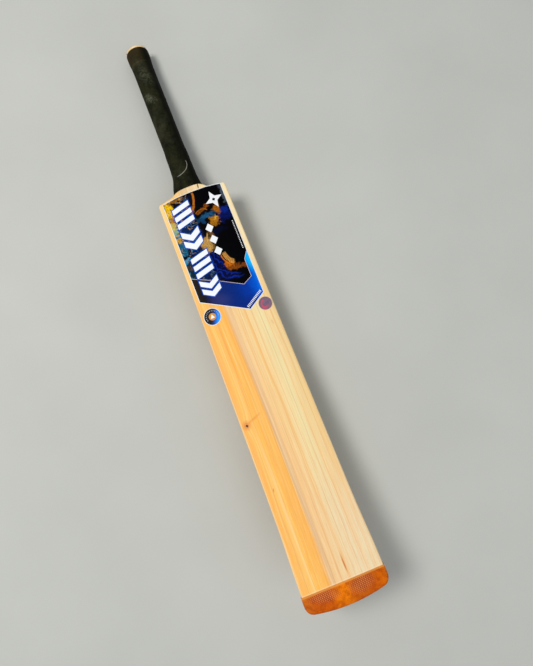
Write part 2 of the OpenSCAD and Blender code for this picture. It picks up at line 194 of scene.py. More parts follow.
def toe_line(x):
    return GUARD_T + TOE_RISE * (x / TOE_HALF) ** 2 + round_loss(TOE_HALF - abs(x), TOE_CORNER_R)


def shoulder_line(x):
    rim = np.maximum(SHOULDER_HALF - abs(x), 0)
    line = BLADE_LEN + curve(SHOULDER_CURVE, abs(x)) - curve(SHOULDER_DROP, np.maximum(x, 0))
    return line - round_loss(rim, SHOULDER_CORNER_R)


def vee_at(y):
    """Half width of the splice's V; its tip's half width below it."""
    return mix(TIP_HALF, VEE_HALF, np.clip((y - TIP_Y) / (MOUTH_Y - TIP_Y), 0, 1))


def bow_z(y):
    u = np.clip(2 * np.asarray(y, float) / BLADE_LEN - 1, -1, 1)
    return -BOW * (1 - u * u)


def face_z(x, y):
    f = x / half_at(y)
    return bow_z(y) + CROWN * (1 - f * f)


def back_z(x, y):
    f = abs(x / half_at(y))
    ridge = RIDGE_W / BLADE_W
    u = np.clip((1 - f) / (1 - ridge), 0, 1)
    g = BACK_SLOPE * u + (1 - BACK_SLOPE) / 2 * (1 - np.cos(math.pi * u))
    return bow_z(y) - mix(curve(EDGE_CURVE, y), curve(SPINE_CURVE, y), g)


def surface(x, y, lo, hi, w, off=0.0):
    """Heights of face and back at x, y, with all the rounded edges."""
    rim = w - abs(x)
    f = abs(x) / w
    rb = mix(SHOULDER_END_MID, SHOULDER_END_BACK, ease((f - 0.45) / 0.3))
    top = (
        face_z(x, y) - round_loss(rim, ARRIS_FACE)
        - round_loss(y - lo, TOE_END_FACE) - round_loss(hi - y, SHOULDER_END_FACE) + off
    )
    low = (
        back_z(x, y) + round_loss(rim, ARRIS_BACK)
        + round_loss(y - lo, TOE_END_BACK) + round_loss(hi - y, rb) - off
    )
    return top, low


# ---------------------------------------------------------------- mesh helpers
def add_mesh(name, points_mm, faces, attributes=None):
    mesh = bpy.data.meshes.new(name)
    mesh.from_pydata(to_row(points_mm).tolist(), [], faces)
    mesh.validate()
    mesh.polygons.foreach_set("use_smooth", [True] * len(mesh.polygons))
    for key, values in (attributes or {}).items():
        layer = mesh.attributes.new(key, "FLOAT", "POINT")
        layer.data.foreach_set("value", np.asarray(values, np.float32))
    mesh.update()
    obj = bpy.data.objects.new(name, mesh)
    SCENE.collection.objects.link(obj)
    return obj


def settle(obj, slot, material, *nodes):
    obj.data.materials.append(material)
    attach(obj, "root")
    if nodes:
        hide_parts(*nodes)


def settle_prints(slot, rows):
    """Rows: name, outlines, height over the face, thickness, material, replaced node."""
    for name, outlines, lift, thick, material, *nodes in rows:
        settle(printed(name, outlines, lift, thick), slot, material, *nodes)


RIM_STEPS = [0, 0.02, 0.1, 0.25, 0.5, 0.8, 1.2, 1.7, 2.3, 2.9, 3.6, 4.4, 5.2]
END_STEPS = [0, 0.05, 0.2, 0.45, 0.8, 1.3, 1.9, 2.6, 3.5, 4.6, 5.8, 7.2, 8.6]
OUTER_N, CORE_N = 20, 5


def plan_y(zone, value, lo, hi):
    if zone == "toe":
        return lo + value
    if zone == "middle":
        return mix(lo + END_ZONE, hi - END_ZONE, value)
    if zone == "guard":
        return mix(lo + END_ZONE, GUARD_H, value)
    return hi - value


def row_points(zone, value, off=0.0):
    """x, y, top and low of one row of the blade, left to right."""
    near = {"toe": value, "middle": mix(END_ZONE, BLADE_LEN - END_ZONE, value),
            "guard": GUARD_H * value, "shoulder": BLADE_LEN - value}[zone]
    w = float(half_at(near))
    v = float(vee_at(near))
    for _ in range(4):
        v = float(vee_at(plan_y(zone, value, toe_line(v), shoulder_line(v))))
    rims = [w - r for r in RIM_STEPS]
    outer = [mix(rims[-1], v, i / OUTER_N) for i in range(1, OUTER_N + 1)]
    core = [v * (1 - i / CORE_N) for i in range(1, CORE_N + 1)]
    right = np.array(rims + outer + core)[::-1]
    x = np.concatenate([-right[:0:-1], right])
    lo, hi = toe_line(x), shoulder_line(x)
    y = plan_y(zone, value, lo, hi)
    top, low = surface(x, y, lo, hi, w, off)
    if zone == "toe":
        y = y - off * (1 - value / END_ZONE)
    return np.stack([x * (w + off) / w, y, top], 1), np.stack([x * (w + off) / w, y, low], 1)


def blade_rows():
    tip_share = (TIP_Y - END_ZONE) / (float(shoulder_line(TIP_HALF)) - 2 * END_ZONE)
    rows = [("toe", d) for d in END_STEPS]
    rows += [("middle", s) for s in np.linspace(0, tip_share, 130)]
    tip_row = len(rows) - 1
    rows += [("middle", s) for s in np.linspace(tip_share, 1, 44)[1:]]
    rows += [("shoulder", d) for d in END_STEPS[::-1]]
    return rows, tip_row


def blade_mesh():
    rows, tip_row = blade_rows()
    tops, lows = zip(*[row_points(*r) for r in rows])
    tops, lows = np.array(tops), np.array(lows)
    n_rows, n_cols = tops.shape[:2]
    mid = n_cols // 2
    left, right = mid - CORE_N, mid + CORE_N
    points = np.concatenate([tops.reshape(-1, 3), lows.reshape(-1, 3)])
    shift = n_rows * n_cols

    def t(i, j):
        return i * n_cols + j

    def b(i, j):
        return shift + i * n_cols + j

    faces = []
    for i in range(n_rows - 1):
        for j in range(n_cols - 1):
            if i >= tip_row and left <= j < right:
                continue
            faces.append((t(i, j), t(i, j + 1), t(i + 1, j + 1), t(i + 1, j)))
            faces.append((b(i, j), b(i + 1, j), b(i + 1, j + 1), b(i, j + 1)))
        last = n_cols - 1
        faces.append((t(i, 0), t(i + 1, 0), b(i + 1, 0), b(i, 0)))
        faces.append((t(i, last), b(i, last), b(i + 1, last), t(i + 1, last)))
        if i >= tip_row:
            faces.append((t(i, left), b(i, left), b(i + 1, left), t(i + 1, left)))
            faces.append((t(i, right), t(i + 1, right), b(i + 1, right), b(i, right)))
    for j in range(n_cols - 1):
        faces.append((t(0, j), b(0, j), b(0, j + 1), t(0, j + 1)))
        end = n_rows - 1
        if left <= j < right:
            faces.append((t(tip_row, j), t(tip_row, j + 1), b(tip_row, j + 1), b(tip_row, j)))
        else:
            faces.append((t(end, j), t(end, j + 1), b(end, j + 1), b(end, j)))
    used = sorted({k for f in faces for k in f})
    where = {k: n for n, k in enumerate(used)}
    faces = [tuple(where[k] for k in f) for f in faces]
    points = points[used]
    x, y, z = points.T
    depth = face_z(x, y) - z
    rim = half_at(y) - abs(x)
    return add_mesh("blade_willow", points, faces, {"depth": depth, "rim": rim})


def guard_mesh():
    """Moulded cloth shell over the toe, its free edge thinned to a lip."""
    rows = [("toe", d) for d in END_STEPS]
    rows += [("guard", s) for s in np.linspace(0, 1, 26)]
    offs = [GUARD_T + SKIN_GAP] * len(rows)
    offs[-1] = 0.35 * GUARD_T + SKIN_GAP
    offs[-2] = 0.85 * GUARD_T + SKIN_GAP
    outer = [row_points(z, v, o) for (z, v), o in zip(rows, offs)]
    inner = [row_points(z, v, SKIN_GAP) for z, v in rows]
    n = 2 * outer[0][0].shape[0]

    def loop(pair):
        return np.concatenate([pair[0], pair[1][::-1]])

    points = np.concatenate([loop(p) for p in outer] + [loop(p) for p in inner])
    m = len(rows)
    faces = []
    for k in range(m - 1):
        for j in range(n):
            a, c = k * n + j, k * n + (j + 1) % n
            faces.append((a, c, c + n, a + n))
            a, c = a + m * n, c + m * n
            faces.append((a, a + n, c + n, c))
    for j in range(n // 2 - 1):
        a, c, d, e = j, j + 1, n - 2 - j, n - 1 - j
        faces.append((a, e, d, c))
        faces.append(tuple(k + m * n for k in (a, c, d, e)))
    last = (m - 1) * n
    for j in range(n):
        a, c = last + j, last + (j + 1) % n
        faces.append((a, c, c + m * n, a + m * n))
    return add_mesh("toe_guard_cloth", points, faces)


COVER_CURVE = [
    (TWINE_TO - 20, GRIP_R), (TWINE_TO, GRIP_R), (SWELL_FROM, GRIP_R + 0.4),
    (SWELL_TO, GRIP_R + 1.3), (GRIP_END - 4, GRIP_R + 1.5),
    (GRIP_END - 1.2, GRIP_R + 1.4), (GRIP_END, GRIP_R + 1.3),
]
BORE_CURVE = [
    (BLADE_LEN, CANE_R + TWINE_T), (TWINE_TO, CANE_R + TWINE_T),
    (SWELL_FROM, CANE_R + 0.3 * KNOB + 0.1), (SWELL_TO, CANE_R + 0.65 * KNOB + 0.1),
    (GRIP_END - 2, CANE_R + 0.78 * KNOB + 0.1), (GRIP_END, CANE_R + 0.9 * KNOB + 0.1),
]


def grip_mesh():
    """Rubber sleeve: flared root on the shoulder, plain tube, swollen end round the knob."""
    n = 144
    angles = np.linspace(0, 2 * math.pi, n, endpoint=False)
    rings = []

    def ring(radius, y, seat=False, flare=True):
        up = min(max(y - BLADE_LEN, 0), ROOT_ROWS[-1][0])
        extra = float(curve(ROOT_CURVE, up)) if flare else 0.0
        shift = float(curve(LEAN_CURVE, up)) if flare else 0.0
        x = (radius + extra) * np.cos(angles) - shift
        z = AXIS_Z + radius * np.sin(angles)
        seat_y = shoulder_line(x) + 0.15
        rings.append(np.stack([x, seat_y if seat else np.maximum(y, seat_y), z], 1))

    # Outer side: seated edge with a small roundover, then up to the swollen end.
    ring(ROOT_R - 0.9, BLADE_LEN, True)
    ring(ROOT_R - 0.25, BLADE_LEN + 0.1, True)
    for y in np.linspace(BLADE_LEN + DOME_H + 0.4, ROOT_TO, 40):
        ring(ROOT_R, y)
    for u in np.linspace(0, 1, 8)[1:]:
        ring(mix(ROOT_R, GRIP_R, float(ease(u))), mix(ROOT_TO, PLAIN_FROM, u))
    for y in np.linspace(PLAIN_FROM + 4, TWINE_TO, 40):
        ring(GRIP_R, y)
    for y in np.linspace(TWINE_TO + 2, GRIP_END - 1.2, 26):
        ring(float(curve(COVER_CURVE, y)), y)
    # Rounded rim, then down inside.
    rim_r = float(curve(COVER_CURVE, GRIP_END - 1.2))
    for a in np.linspace(0.2, 1, 6) * math.pi / 2:
        ring(rim_r - 0.8 * (1 - math.cos(a)), GRIP_END - 1.0 + 0.98 * math.sin(a))
    for y in np.linspace(GRIP_END - 0.02, TWINE_TO, 16):
        ring(float(curve(BORE_CURVE, y)), y, flare=False)
    ring(CANE_R + TWINE_T + 0.02, BLADE_LEN + 30, flare=False)
    ring(CANE_R + 0.1, BLADE_LEN + 20)
    ring(CANE_R + 0.1, BLADE_LEN + 13)
    ring(CANE_R + 0.1, BLADE_LEN, True)
    m = len(rings)
    points = np.concatenate(rings)
    faces = []
    for k in range(m):
        for j in range(n):
            a, c = k * n + j, k * n + (j + 1) % n
            d, e = ((k + 1) % m) * n + (j + 1) % n, ((k + 1) % m) * n + j
            faces.append((a, e, d, c))
    return add_mesh("grip_rubber", points, faces)


# ---------------------------------------------------------------- thin printed shapes
GRID = (3.0, 5.0)


def printed(name, outlines, lift, thick):
    """Closed flat shapes following the face: outlines are lists of (x, y) in mm."""
    bm = bmesh.new()
    for outline in outlines:
        verts = [bm.verts.new((x, y, 0)) for x, y in outline]
        bm.faces.new(verts).normal_update()
    bmesh.ops.triangulate(bm, faces=bm.faces[:])
    corners = [v.co.copy() for v in bm.verts]
    for axis, step in enumerate(GRID):
        values = [c[axis] for c in corners]
        normal = Vector((1 - axis, axis, 0))
        for k in range(math.ceil(min(values) / step), math.floor(max(values) / step) + 1):
            bmesh.ops.bisect_plane(
                bm, geom=bm.verts[:] + bm.edges[:] + bm.faces[:],
                plane_co=normal * k * step, plane_no=normal, dist=1e-5)
    bmesh.ops.dissolve_degenerate(bm, dist=1e-4, edges=bm.edges[:])
    bmesh.ops.recalc_face_normals(bm, faces=bm.faces[:])
    for face in bm.faces:
        if face.normal.z < 0:
            face.normal_flip()
    extruded = bmesh.ops.extrude_face_region(bm, geom=bm.faces[:])
    upper = {v for v in extruded["geom"] if isinstance(v, bmesh.types.BMVert)}
    bm.verts.ensure_lookup_table()
    for v in bm.verts:
        x, y = v.co.x, v.co.y
        z = float(face_z(x, y)) + lift + (thick if v in upper else 0.0)
        v.co = Vector(to_row([(x, y, z)])[0])
    bmesh.ops.recalc_face_normals(bm, faces=bm.faces[:])
    # The order bmesh leaves changes from run to run, so the faces are sorted.
    faces = sorted(bm.faces, key=lambda f: [tuple(v.co) for v in f.verts])
    index = {}
    for face in faces:
        for v in face.verts:
            index.setdefault(v, len(index))
    mesh = bpy.data.meshes.new(name)
    mesh.from_pydata([v.co for v in index], [], [[index[v] for v in f.verts] for f in faces])
    bm.free()
    obj = bpy.data.objects.new(name, mesh)
    SCENE.collection.objects.link(obj)
    return obj


def strip(path, half_width):
    """Outlines of a band of constant width along an open path, one per segment."""
    out = []
    pts = [Vector(p) for p in path]
    sides = []
    for i, p in enumerate(pts):
        before = (p - pts[i - 1]).normalized() if i else None
        after = (pts[i + 1] - p).normalized() if i + 1 < len(pts) else None
        d = ((before or after) + (after or before)).normalized()
        n = Vector((-d.y, d.x))
        ref = before or after
        k = half_width / max(abs(n.dot(Vector((-ref.y, ref.x)))), 0.3)
        sides.append((p + n * k, p - n * k))
    for (a, b), (c, d) in zip(sides, sides[1:]):
        out.append([tuple(a), tuple(b), tuple(d), tuple(c)])
    return out


def inset(outline, d):
    """A convex-ish outline moved inwards by d, outline running anticlockwise."""
    pts = [Vector(p) for p in outline]
    n = len(pts)
    out = []
    for i, p in enumerate(pts):
        a = (p - pts[i - 1]).normalized()
        b = (pts[(i + 1) % n] - p).normalized()
        na, nb = Vector((-a.y, a.x)), Vector((-b.y, b.x))
        m = (na + nb).normalized()
        out.append(tuple(p + m * (d / max(m.dot(na), 0.3))))
    return out


def circle(cx, cy, r, n=72):
    return [(cx + r * math.cos(2 * math.pi * k / n), cy + r * math.sin(2 * math.pi * k / n))
            for k in range(n)]


def rotated(points, cx, cy, degrees):
    c, s = math.cos(math.radians(degrees)), math.sin(math.radians(degrees))
    return [(cx + c * x - s * y, cy + s * x + c * y) for x, y in points]


# ---------------------------------------------------------------- node helpers
def srgb(r, g, b):
    """A colour given as 0..255 display values, as linear RGBA."""
    def lin(v):
        v /= 255
        return v / 12.92 if v <= 0.04045 else ((v + 0.055) / 1.055) ** 2.4
    return (lin(r), lin(g), lin(b), 1.0)


class Paint:
    """Builds one material's node tree."""

    def __init__(self, name, **shader):
        self.mat = bpy.data.materials.new(name)
        self.mat.use_nodes = True
        self.tree = self.mat.node_tree
        self.bsdf = self.tree.nodes["Principled BSDF"]
        for key, value in shader.items():
            self.bsdf.inputs[key.replace("_", " ")].default_value = value
        # Object coordinates back in the bat's millimetres.
        where = self.node("TexCoord").outputs["Object"]
        back = TURN.transposed() @ SHIFT
        move = self.node("Mapping", Scale=(1 / MM,) * 3, Rotation=(TILT, 0, 0),
                         Location=tuple(-back / MM), Vector=where)
        self.p = move.outputs["Vector"]
        self.x, self.y, self.z = self.node("SeparateXYZ", self.p).outputs

    def node(self, kind, *values, **named):
        """A new node, its inputs given in order or by name."""
        n = self.tree.nodes.new("ShaderNode" + kind)
        for socket, value in zip(n.inputs, values):
            self.put(socket, value)
        for key, value in named.items():
            self.put(n.inputs[key], value)
        return n

    def put(self, socket, value):
        if isinstance(value, bpy.types.NodeSocket):
            self.tree.links.new(value, socket)
        else:
            socket.default_value = value

    def math(self, op, a, b=0.0, c=0.0):
        n = self.node("Math")
        n.operation = op
        for s, v in zip(n.inputs, (a, b, c)):
            self.put(s, v)
        return n.outputs[0]

    def add(self, a, b):
        return self.math("ADD", a, b)

    def sub(self, a, b):
        return self.math("SUBTRACT", a, b)

    def mul(self, a, b):
        return self.math("MULTIPLY", a, b)

    def madd(self, a, b, c):
        return self.math("MULTIPLY_ADD", a, b, c)

    def off(self, a, b):
        """How far a is from b."""
        return self.math("ABSOLUTE", self.sub(a, b))

    def sway(self, value, noise, reach):
        """Value moved up and down by a noise of 0..1."""
        return self.madd(self.sub(noise, 0.5), reach, value)

    def vec(self, x, y, z=0.0):
        return self.node("CombineXYZ", x, y, z).outputs[0]

    def noise(self, at, scale=1.0, detail=2.0, rough=0.5, distort=0.0):
        return self.node("TexNoise", Vector=at, Scale=scale, Detail=detail, Roughness=rough,
                         Distortion=distort).outputs[0]

    def grain(self, sx, sy, sz, detail=2.0, rough=0.5, x=None):
        """Noise with its own scale along each axis."""
        at = self.vec(self.mul(x or self.x, sx), self.mul(self.y, sy), self.mul(self.z, sz))
        return self.noise(at, 1.0, detail, rough)

    def range(self, v, a, b, top=1.0, low=0.0, smooth=False):
        """Low to top as v goes from a to b, and level beyond them."""
        n = self.node("MapRange", v, a, b, low, top)
        n.interpolation_type = "SMOOTHSTEP" if smooth else "LINEAR"
        n.clamp = True
        return n.outputs[0]

    def soft(self, v, a, b, top=1.0, low=0.0):
        return self.range(v, a, b, top, low, True)

    def ramp(self, v, stops):
        n = self.node("ValToRGB", v)
        e = n.color_ramp.elements
        while len(e) < len(stops):
            e.new(0.5)
        for k, (at, tone) in zip(e, stops):
            k.position = at
            k.color = srgb(*tone)
        return n.outputs[0]

    def mix(self, fac, a, b):
        n = self.node("Mix")
        n.data_type = "RGBA"
        self.put(n.inputs[0], fac)
        self.put(n.inputs[6], a)
        self.put(n.inputs[7], b)
        return n.outputs[2]

    def lay(self, mask, r, g, b):
        """Colour (r, g, b), 0..255, laid over the base colour where mask is 1."""
        self.base = self.mix(mask, self.base, srgb(r, g, b))

    def attribute(self, name):
        n = self.node("Attribute")
        n.attribute_name = name
        return n.outputs["Fac"]

    def dist(self, cx, cy, sx=1.0, sy=1.0, angle=0.0, x=None, y=None):
        """Distance from (cx, cy) in units of (sx, sy), the axes turned by angle."""
        dx = self.sub(x or self.x, cx)
        dy = self.sub(y or self.y, cy)
        c, s = math.cos(math.radians(angle)), math.sin(math.radians(angle))
        u = self.madd(dx, c / sx, self.mul(dy, s / sx))
        v = self.madd(dx, -s / sy, self.mul(dy, c / sy))
        return self.math("SQRT", self.madd(u, u, self.mul(v, v)))

    def blob(self, cx, cy, sx, sy, angle=0.0, soft=0.35, x=None, y=None):
        d = self.dist(cx, cy, sx, sy, angle, x, y)
        return self.soft(d, 1 + soft, 1 - soft)

    def finished(self, rough, height, bump_mm, strength):
        """The material, with its base colour, roughness and bump wired in."""
        n = self.node("Bump", Strength=strength, Distance=bump_mm * MM, Height=height)
        self.put(self.bsdf.inputs["Normal"], n.outputs[0])
        self.put(self.bsdf.inputs["Roughness"], rough)
        self.put(self.bsdf.inputs["Base Color"], self.base)
        return self.mat


# ---------------------------------------------------------------- materials
TICK = (12.9, BLADE_LEN + 7.5, 0.8, 4.2, -8, 0.5)
KNOT_X, KNOT_Y = -44.0, 242.2
RING_STEP, THREAD_PITCH = 8.6, 1.1
# Marks in the face's wood: centre, half sizes, turn, softness, strength, colour, wavy edge.
WOOD_MARKS = [
    (-33.0, 247.6, 11.0, 1.5, 21, 0.8, 0.60, (230, 140, 54), False),
    (9.6, 44.0, 0.85, 9.5, 1, 0.65, 0.95, (212, 124, 44), True),
    (9.5, 40.0, 0.4, 5.0, 1, 0.6, 0.50, (176, 92, 28), True),
    (-40.8, 153.4, 0.7, 2.2, -20, 0.6, 0.75, (210, 112, 48), False),
    (40.4, 362.5, 1.0, 3.4, 10, 0.7, 0.40, (216, 150, 110), False),
    (-31.5, 345.0, 1.2, 60.0, 0, 0.8, 0.50, (247, 158, 56), True),
    (-27.5, 240.0, 1.0, 50.0, 0, 0.8, 0.40, (247, 160, 60), True),
    (-20.0, 330.0, 2.4, 90.0, 0, 0.8, 0.40, (248, 166, 66), True),
    (-22.5, 110.0, 5.0, 110.0, 0, 0.8, 0.35, (244, 164, 76), True),
    (-36.0, 105.0, 1.8, 110.0, 0, 0.8, 0.50, (252, 214, 150), True),
    (-42.5, 70.0, 2.5, 60.0, 0, 0.8, 0.30, (238, 160, 82), True),
    (-1.2, 330.0, 1.0, 60.0, 0, 0.8, 0.45, (240, 176, 96), True),
    (9.2, 330.0, 1.1, 70.0, 0, 0.8, 0.60, (242, 182, 98), True),
    (-12.0, 180.0, 1.3, 170.0, 0.5, 0.7, 0.50, (204, 162, 116), True),
    (-9.0, 100.0, 0.7, 80.0, 0.2, 0.7, 0.35, (206, 156, 112), True),
    (*TICK, 0.95, (64, 38, 12), False),
    (KNOT_X, KNOT_Y, 1.6, 1.9, 30, 0.45, 1.00, (48, 24, 12), True),
]


def willow_paint():
    """Straight-grained willow: orange heartwood on the left, cream sapwood on the right."""
    p = Paint("willow", Specular_IOR_Level=0.3)
    depth = p.attribute("depth")
    rim = p.attribute("rim")
    on_face = p.range(depth, 5.0, 1.0)
    # The knot on the left bends the grain round it.
    near_knot = p.dist(KNOT_X, KNOT_Y, 1.0, 1.6)
    bulge = p.mul(p.math("EXPONENT", p.mul(p.mul(near_knot, near_knot), -0.012)), 3.4)
    slow = p.grain(0.02, 0.005, 0.02, 2.0)
    u = p.add(p.sway(p.x, slow, 5.0), p.mul(p.z, 0.12))
    u = p.add(u, bulge)
    # The heartwood's edge runs slightly outwards towards the toe.
    lean = p.range(p.y, 0, BLADE_LEN, 1.4, -1.4)
    across = p.madd(p.add(u, lean), 1 / BLADE_W, 0.5)
    p.base = p.ramp(across, [
        (0.00, (248, 188, 98)), (0.04, (250, 184, 84)), (0.10, (251, 198, 98)),
        (0.16, (250, 195, 90)), (0.21, (249, 183, 72)), (0.26, (250, 196, 90)),
        (0.31, (249, 183, 76)), (0.338, (246, 180, 80)), (0.346, (226, 180, 116)),
        (0.375, (238, 200, 150)), (0.40, (226, 184, 130)), (0.43, (240, 204, 148)),
        (0.50, (240, 202, 140)), (0.55, (242, 208, 146)), (0.582, (238, 190, 118)),
        (0.61, (240, 214, 156)), (0.72, (236, 220, 164)), (0.84, (236, 216, 160)),
        (0.93, (236, 206, 144)), (1.00, (240, 214, 152)),
    ])
    # Towards the toe the right side turns a little pinker.
    low = p.mul(p.soft(p.y, 250, 40, 0.75), p.soft(p.x, -17, 8))
    p.lay(low, 236, 207, 160)
    pale = p.mul(p.soft(p.y, 180, 70, 0.8), p.soft(p.x, 12, 24))
    p.lay(pale, 234, 216, 176)
    # Both strips beside the large sticker are paler.
    high = p.soft(p.y, 410, 470)
    p.lay(p.mul(high, p.range(p.x, 40, 46, 0.8)), 246, 230, 188)
    p.lay(p.mul(high, p.range(p.x, -38, -46, 0.6)), 246, 212, 142)
    dome = p.mul(p.range(p.y, BLADE_LEN - 6, BLADE_LEN + 2), p.range(p.x, 2, -10, 0.7))
    p.lay(dome, 242, 208, 140)
    # Broad, medium and fine streaks along the grain, stronger in the heartwood.
    heart = p.soft(p.x, -8, -24, 1.0, 0.55)
    broad = p.grain(0.16, 0.002, 0.03, 3.0, 0.55, x=u)
    medium = p.grain(0.55, 0.0045, 0.1, 4.0, 0.6, x=u)
    fine = p.grain(2.4, 0.014, 0.5, 4.0, 0.65, x=u)
    fibre = p.grain(7.0, 0.09, 2.0, 3.0, 0.6, x=u)
    warm = p.mul(p.range(broad, 0.45, 0.66, 0.5), heart)
    p.lay(warm, 249, 170, 72)
    p.lay(p.mul(p.range(medium, 0.50, 0.74, 0.40), heart), 232, 156, 78)
    p.lay(p.range(medium, 0.46, 0.26, 0.45), 252, 224, 166)
    p.lay(p.range(fine, 0.52, 0.72, 0.38), 204, 148, 96)
    p.lay(p.range(fine, 0.46, 0.28, 0.38), 254, 234, 190)
    p.lay(p.range(fibre, 0.55, 0.78, 0.18), 186, 130, 80)
    # Growth rings: narrow tan lines a few millimetres apart.
    phase = p.sway(p.mul(u, 1 / RING_STEP), broad, 0.9)
    saw = p.math("FRACT", phase)
    ring = p.mul(p.soft(saw, 0.80, 0.97), p.range(saw, 1.0, 0.97))
    p.lay(p.mul(ring, 0.34), 212, 142, 80)
    # The knot's halo and ringlets, then every other mark.
    px = p.sway(p.x, fine, 2.0)
    halo = p.mul(p.blob(KNOT_X - 0.4, KNOT_Y + 0.6, 4.6, 5.4, 0, 0.75, px), 0.75)
    p.lay(p.mul(halo, on_face), 226, 134, 52)
    ringlet = p.dist(KNOT_X - 0.4, KNOT_Y + 0.4, 1.0, 1.2)
    ringlet = p.mul(p.range(p.math("SINE", p.mul(ringlet, 2.6)), 0.2, 1.0, 0.45),
                    p.range(ringlet, 6.5, 2.0))
    p.lay(p.mul(ringlet, on_face), 190, 104, 42)
    for *place, strength, tone, wavy in WOOD_MARKS:
        mask = p.mul(p.blob(*place, px if wavy else None), strength)
        p.lay(p.mul(mask, on_face), *tone)
    # Paler along the arrises: sanded wood, with a painted highlight on the rounded edges; the wood
    # just above the guard is pale too.
    arris = p.mul(p.soft(rim, 2.6, 0.4, 0.6), p.range(depth, 9, 1))
    p.lay(arris, 255, 228, 176)
    near_guard = p.soft(p.off(p.y, GUARD_H + 0.9), 0.9, 0.3, 0.35)
    p.lay(near_guard, 252, 222, 182)
    return p.finished(p.range(medium, 0.2, 0.8, 0.64, 0.50),
                      p.madd(fine, 0.7, p.mul(fibre, 0.3)), 0.12, 0.5)


def cane_paint(name, tone, seed):
    """Bare cane: tan, with close dark fibre bundles along it and as pores at the end."""
    p = Paint(name, Specular_IOR_Level=0.35)
    at = p.vec(p.mul(p.add(p.x, seed), 1.3), p.mul(p.y, 0.012), p.mul(p.z, 1.3))
    fibre = p.noise(at, 1.6, 4.0, 0.65)
    slow = p.grain(0.2, 0.01, 0.2, 2.0)
    r, g, b = tone
    p.base = p.mix(p.range(slow, 0.3, 0.7), srgb(r, g, b), srgb(r - 14, g - 18, b - 20))
    p.lay(p.range(fibre, 0.5, 0.72, 0.55), r - 70, g - 78, b - 70)
    p.lay(p.range(fibre, 0.42, 0.25, 0.4), min(r + 12, 255), g + 12, b + 20)
    # Dark tick on the dome, where the wedge meets the shoulder's wood.
    tick = p.mul(p.blob(*TICK), p.range(p.z, -6, -2))
    p.lay(p.mul(tick, 0.95), 64, 38, 12)
    return p.finished(p.range(fibre, 0.3, 0.7, 0.66, 0.5), fibre, 0.1, 0.6)


def spring_paint():
    p = Paint("spring_rubber", Specular_IOR_Level=0.3)
    speck = p.noise(p.p, 1.4, 4.0, 0.6)
    p.base = p.mix(speck, srgb(70, 34, 26), srgb(112, 58, 44))
    return p.finished(p.range(speck, 0.2, 0.8, 0.9, 0.7), speck, 0.08, 0.5)


def twine_paint():
    """Close turns of waxed thread."""
    p = Paint("twine", Specular_IOR_Level=0.3)
    turns = p.math("SINE", p.mul(p.y, 2 * math.pi / THREAD_PITCH))
    fuzz = p.noise(p.p, 2.2, 3.0)
    # Painted light and shade: each turn of thread is lighter on its crest and darker between turns,
    # with uneven fuzz.
    lit = p.madd(turns, 0.3, p.mul(fuzz, 0.6))
    p.base = p.mix(lit, srgb(176, 158, 122), srgb(226, 212, 180))
    return p.finished(p.range(fuzz, 0.2, 0.8, 0.85, 0.7), turns, 0.25, 0.8)


def grip_paint():
    """Black rubber with a brown cast, cloudy scuffs, one pale curved scratch and painted shade on
    its right side.
    """
    p = Paint("grip_rubber", Specular_IOR_Level=0.05)
    cloud = p.grain(0.07, 0.045, 0.07, 4.0, 0.6)
    haze = p.noise(p.p, 0.03, 3.0, 0.6)
    dust = p.noise(p.p, 0.35, 5.0, 0.7)
    grain = p.noise(p.p, 2.6, 3.0, 0.6)
    p.base = p.mix(p.range(cloud, 0.40, 0.62), srgb(15, 16, 7), srgb(34, 35, 17))
    p.lay(p.range(haze, 0.5, 0.68, 0.4), 62, 62, 46)
    p.lay(p.range(dust, 0.5, 0.8, 0.45), 66, 68, 48)
    p.lay(p.range(grain, 0.55, 0.8, 0.25), 8, 8, 6)
    # Browner towards the end, with a faint ring where the grip starts to swell.
    p.lay(p.soft(p.y, HANDLE_END - 40, HANDLE_END - 10, 0.6), 56, 45, 24)
    ring = p.soft(p.off(p.y, HANDLE_END - 31), 2.6, 0.4, 0.4)
    p.lay(p.mul(ring, p.range(dust, 0.3, 0.6)), 76, 64, 42)
    # Painted shade: the right side, away from the light, is darker.
    p.lay(p.soft(p.x, 2, 13, 0.9), 6, 7, 3)
    rub = p.math("MAXIMUM", p.mul(p.blob(-6, 759, 5, 10, 35, 0.8), 0.75),
                 p.mul(p.blob(-1, 800, 8, 16, 20, 0.8), 0.35))
    p.lay(p.mul(rub, p.range(dust, 0.36, 0.62)), 96, 98, 78)
    # Pale curved scratch near the root, an arc on the front.
    arc_x, arc_y, arc_r = SCRATCH
    wobble = p.sway(p.dist(arc_x, arc_y), dust, 1.2)
    line = p.soft(p.off(wobble, arc_r), 0.62, 0.18)
    part = p.mul(p.range(p.x, arc_x - 3, arc_x + 2), p.range(p.y, arc_y + 4, arc_y + 1))
    front = p.range(p.z, AXIS_Z + 4, AXIS_Z + 8)
    p.lay(p.mul(p.mul(p.mul(line, part), front), 0.7), 176, 172, 158)
    return p.finished(p.range(cloud, 0.3, 0.7, 0.75, 0.55),
                      p.madd(grain, 0.5, p.mul(cloud, 1.2)), 0.25, 0.6)


WEAVE, GUARD_SPREAD = 2.8, 112


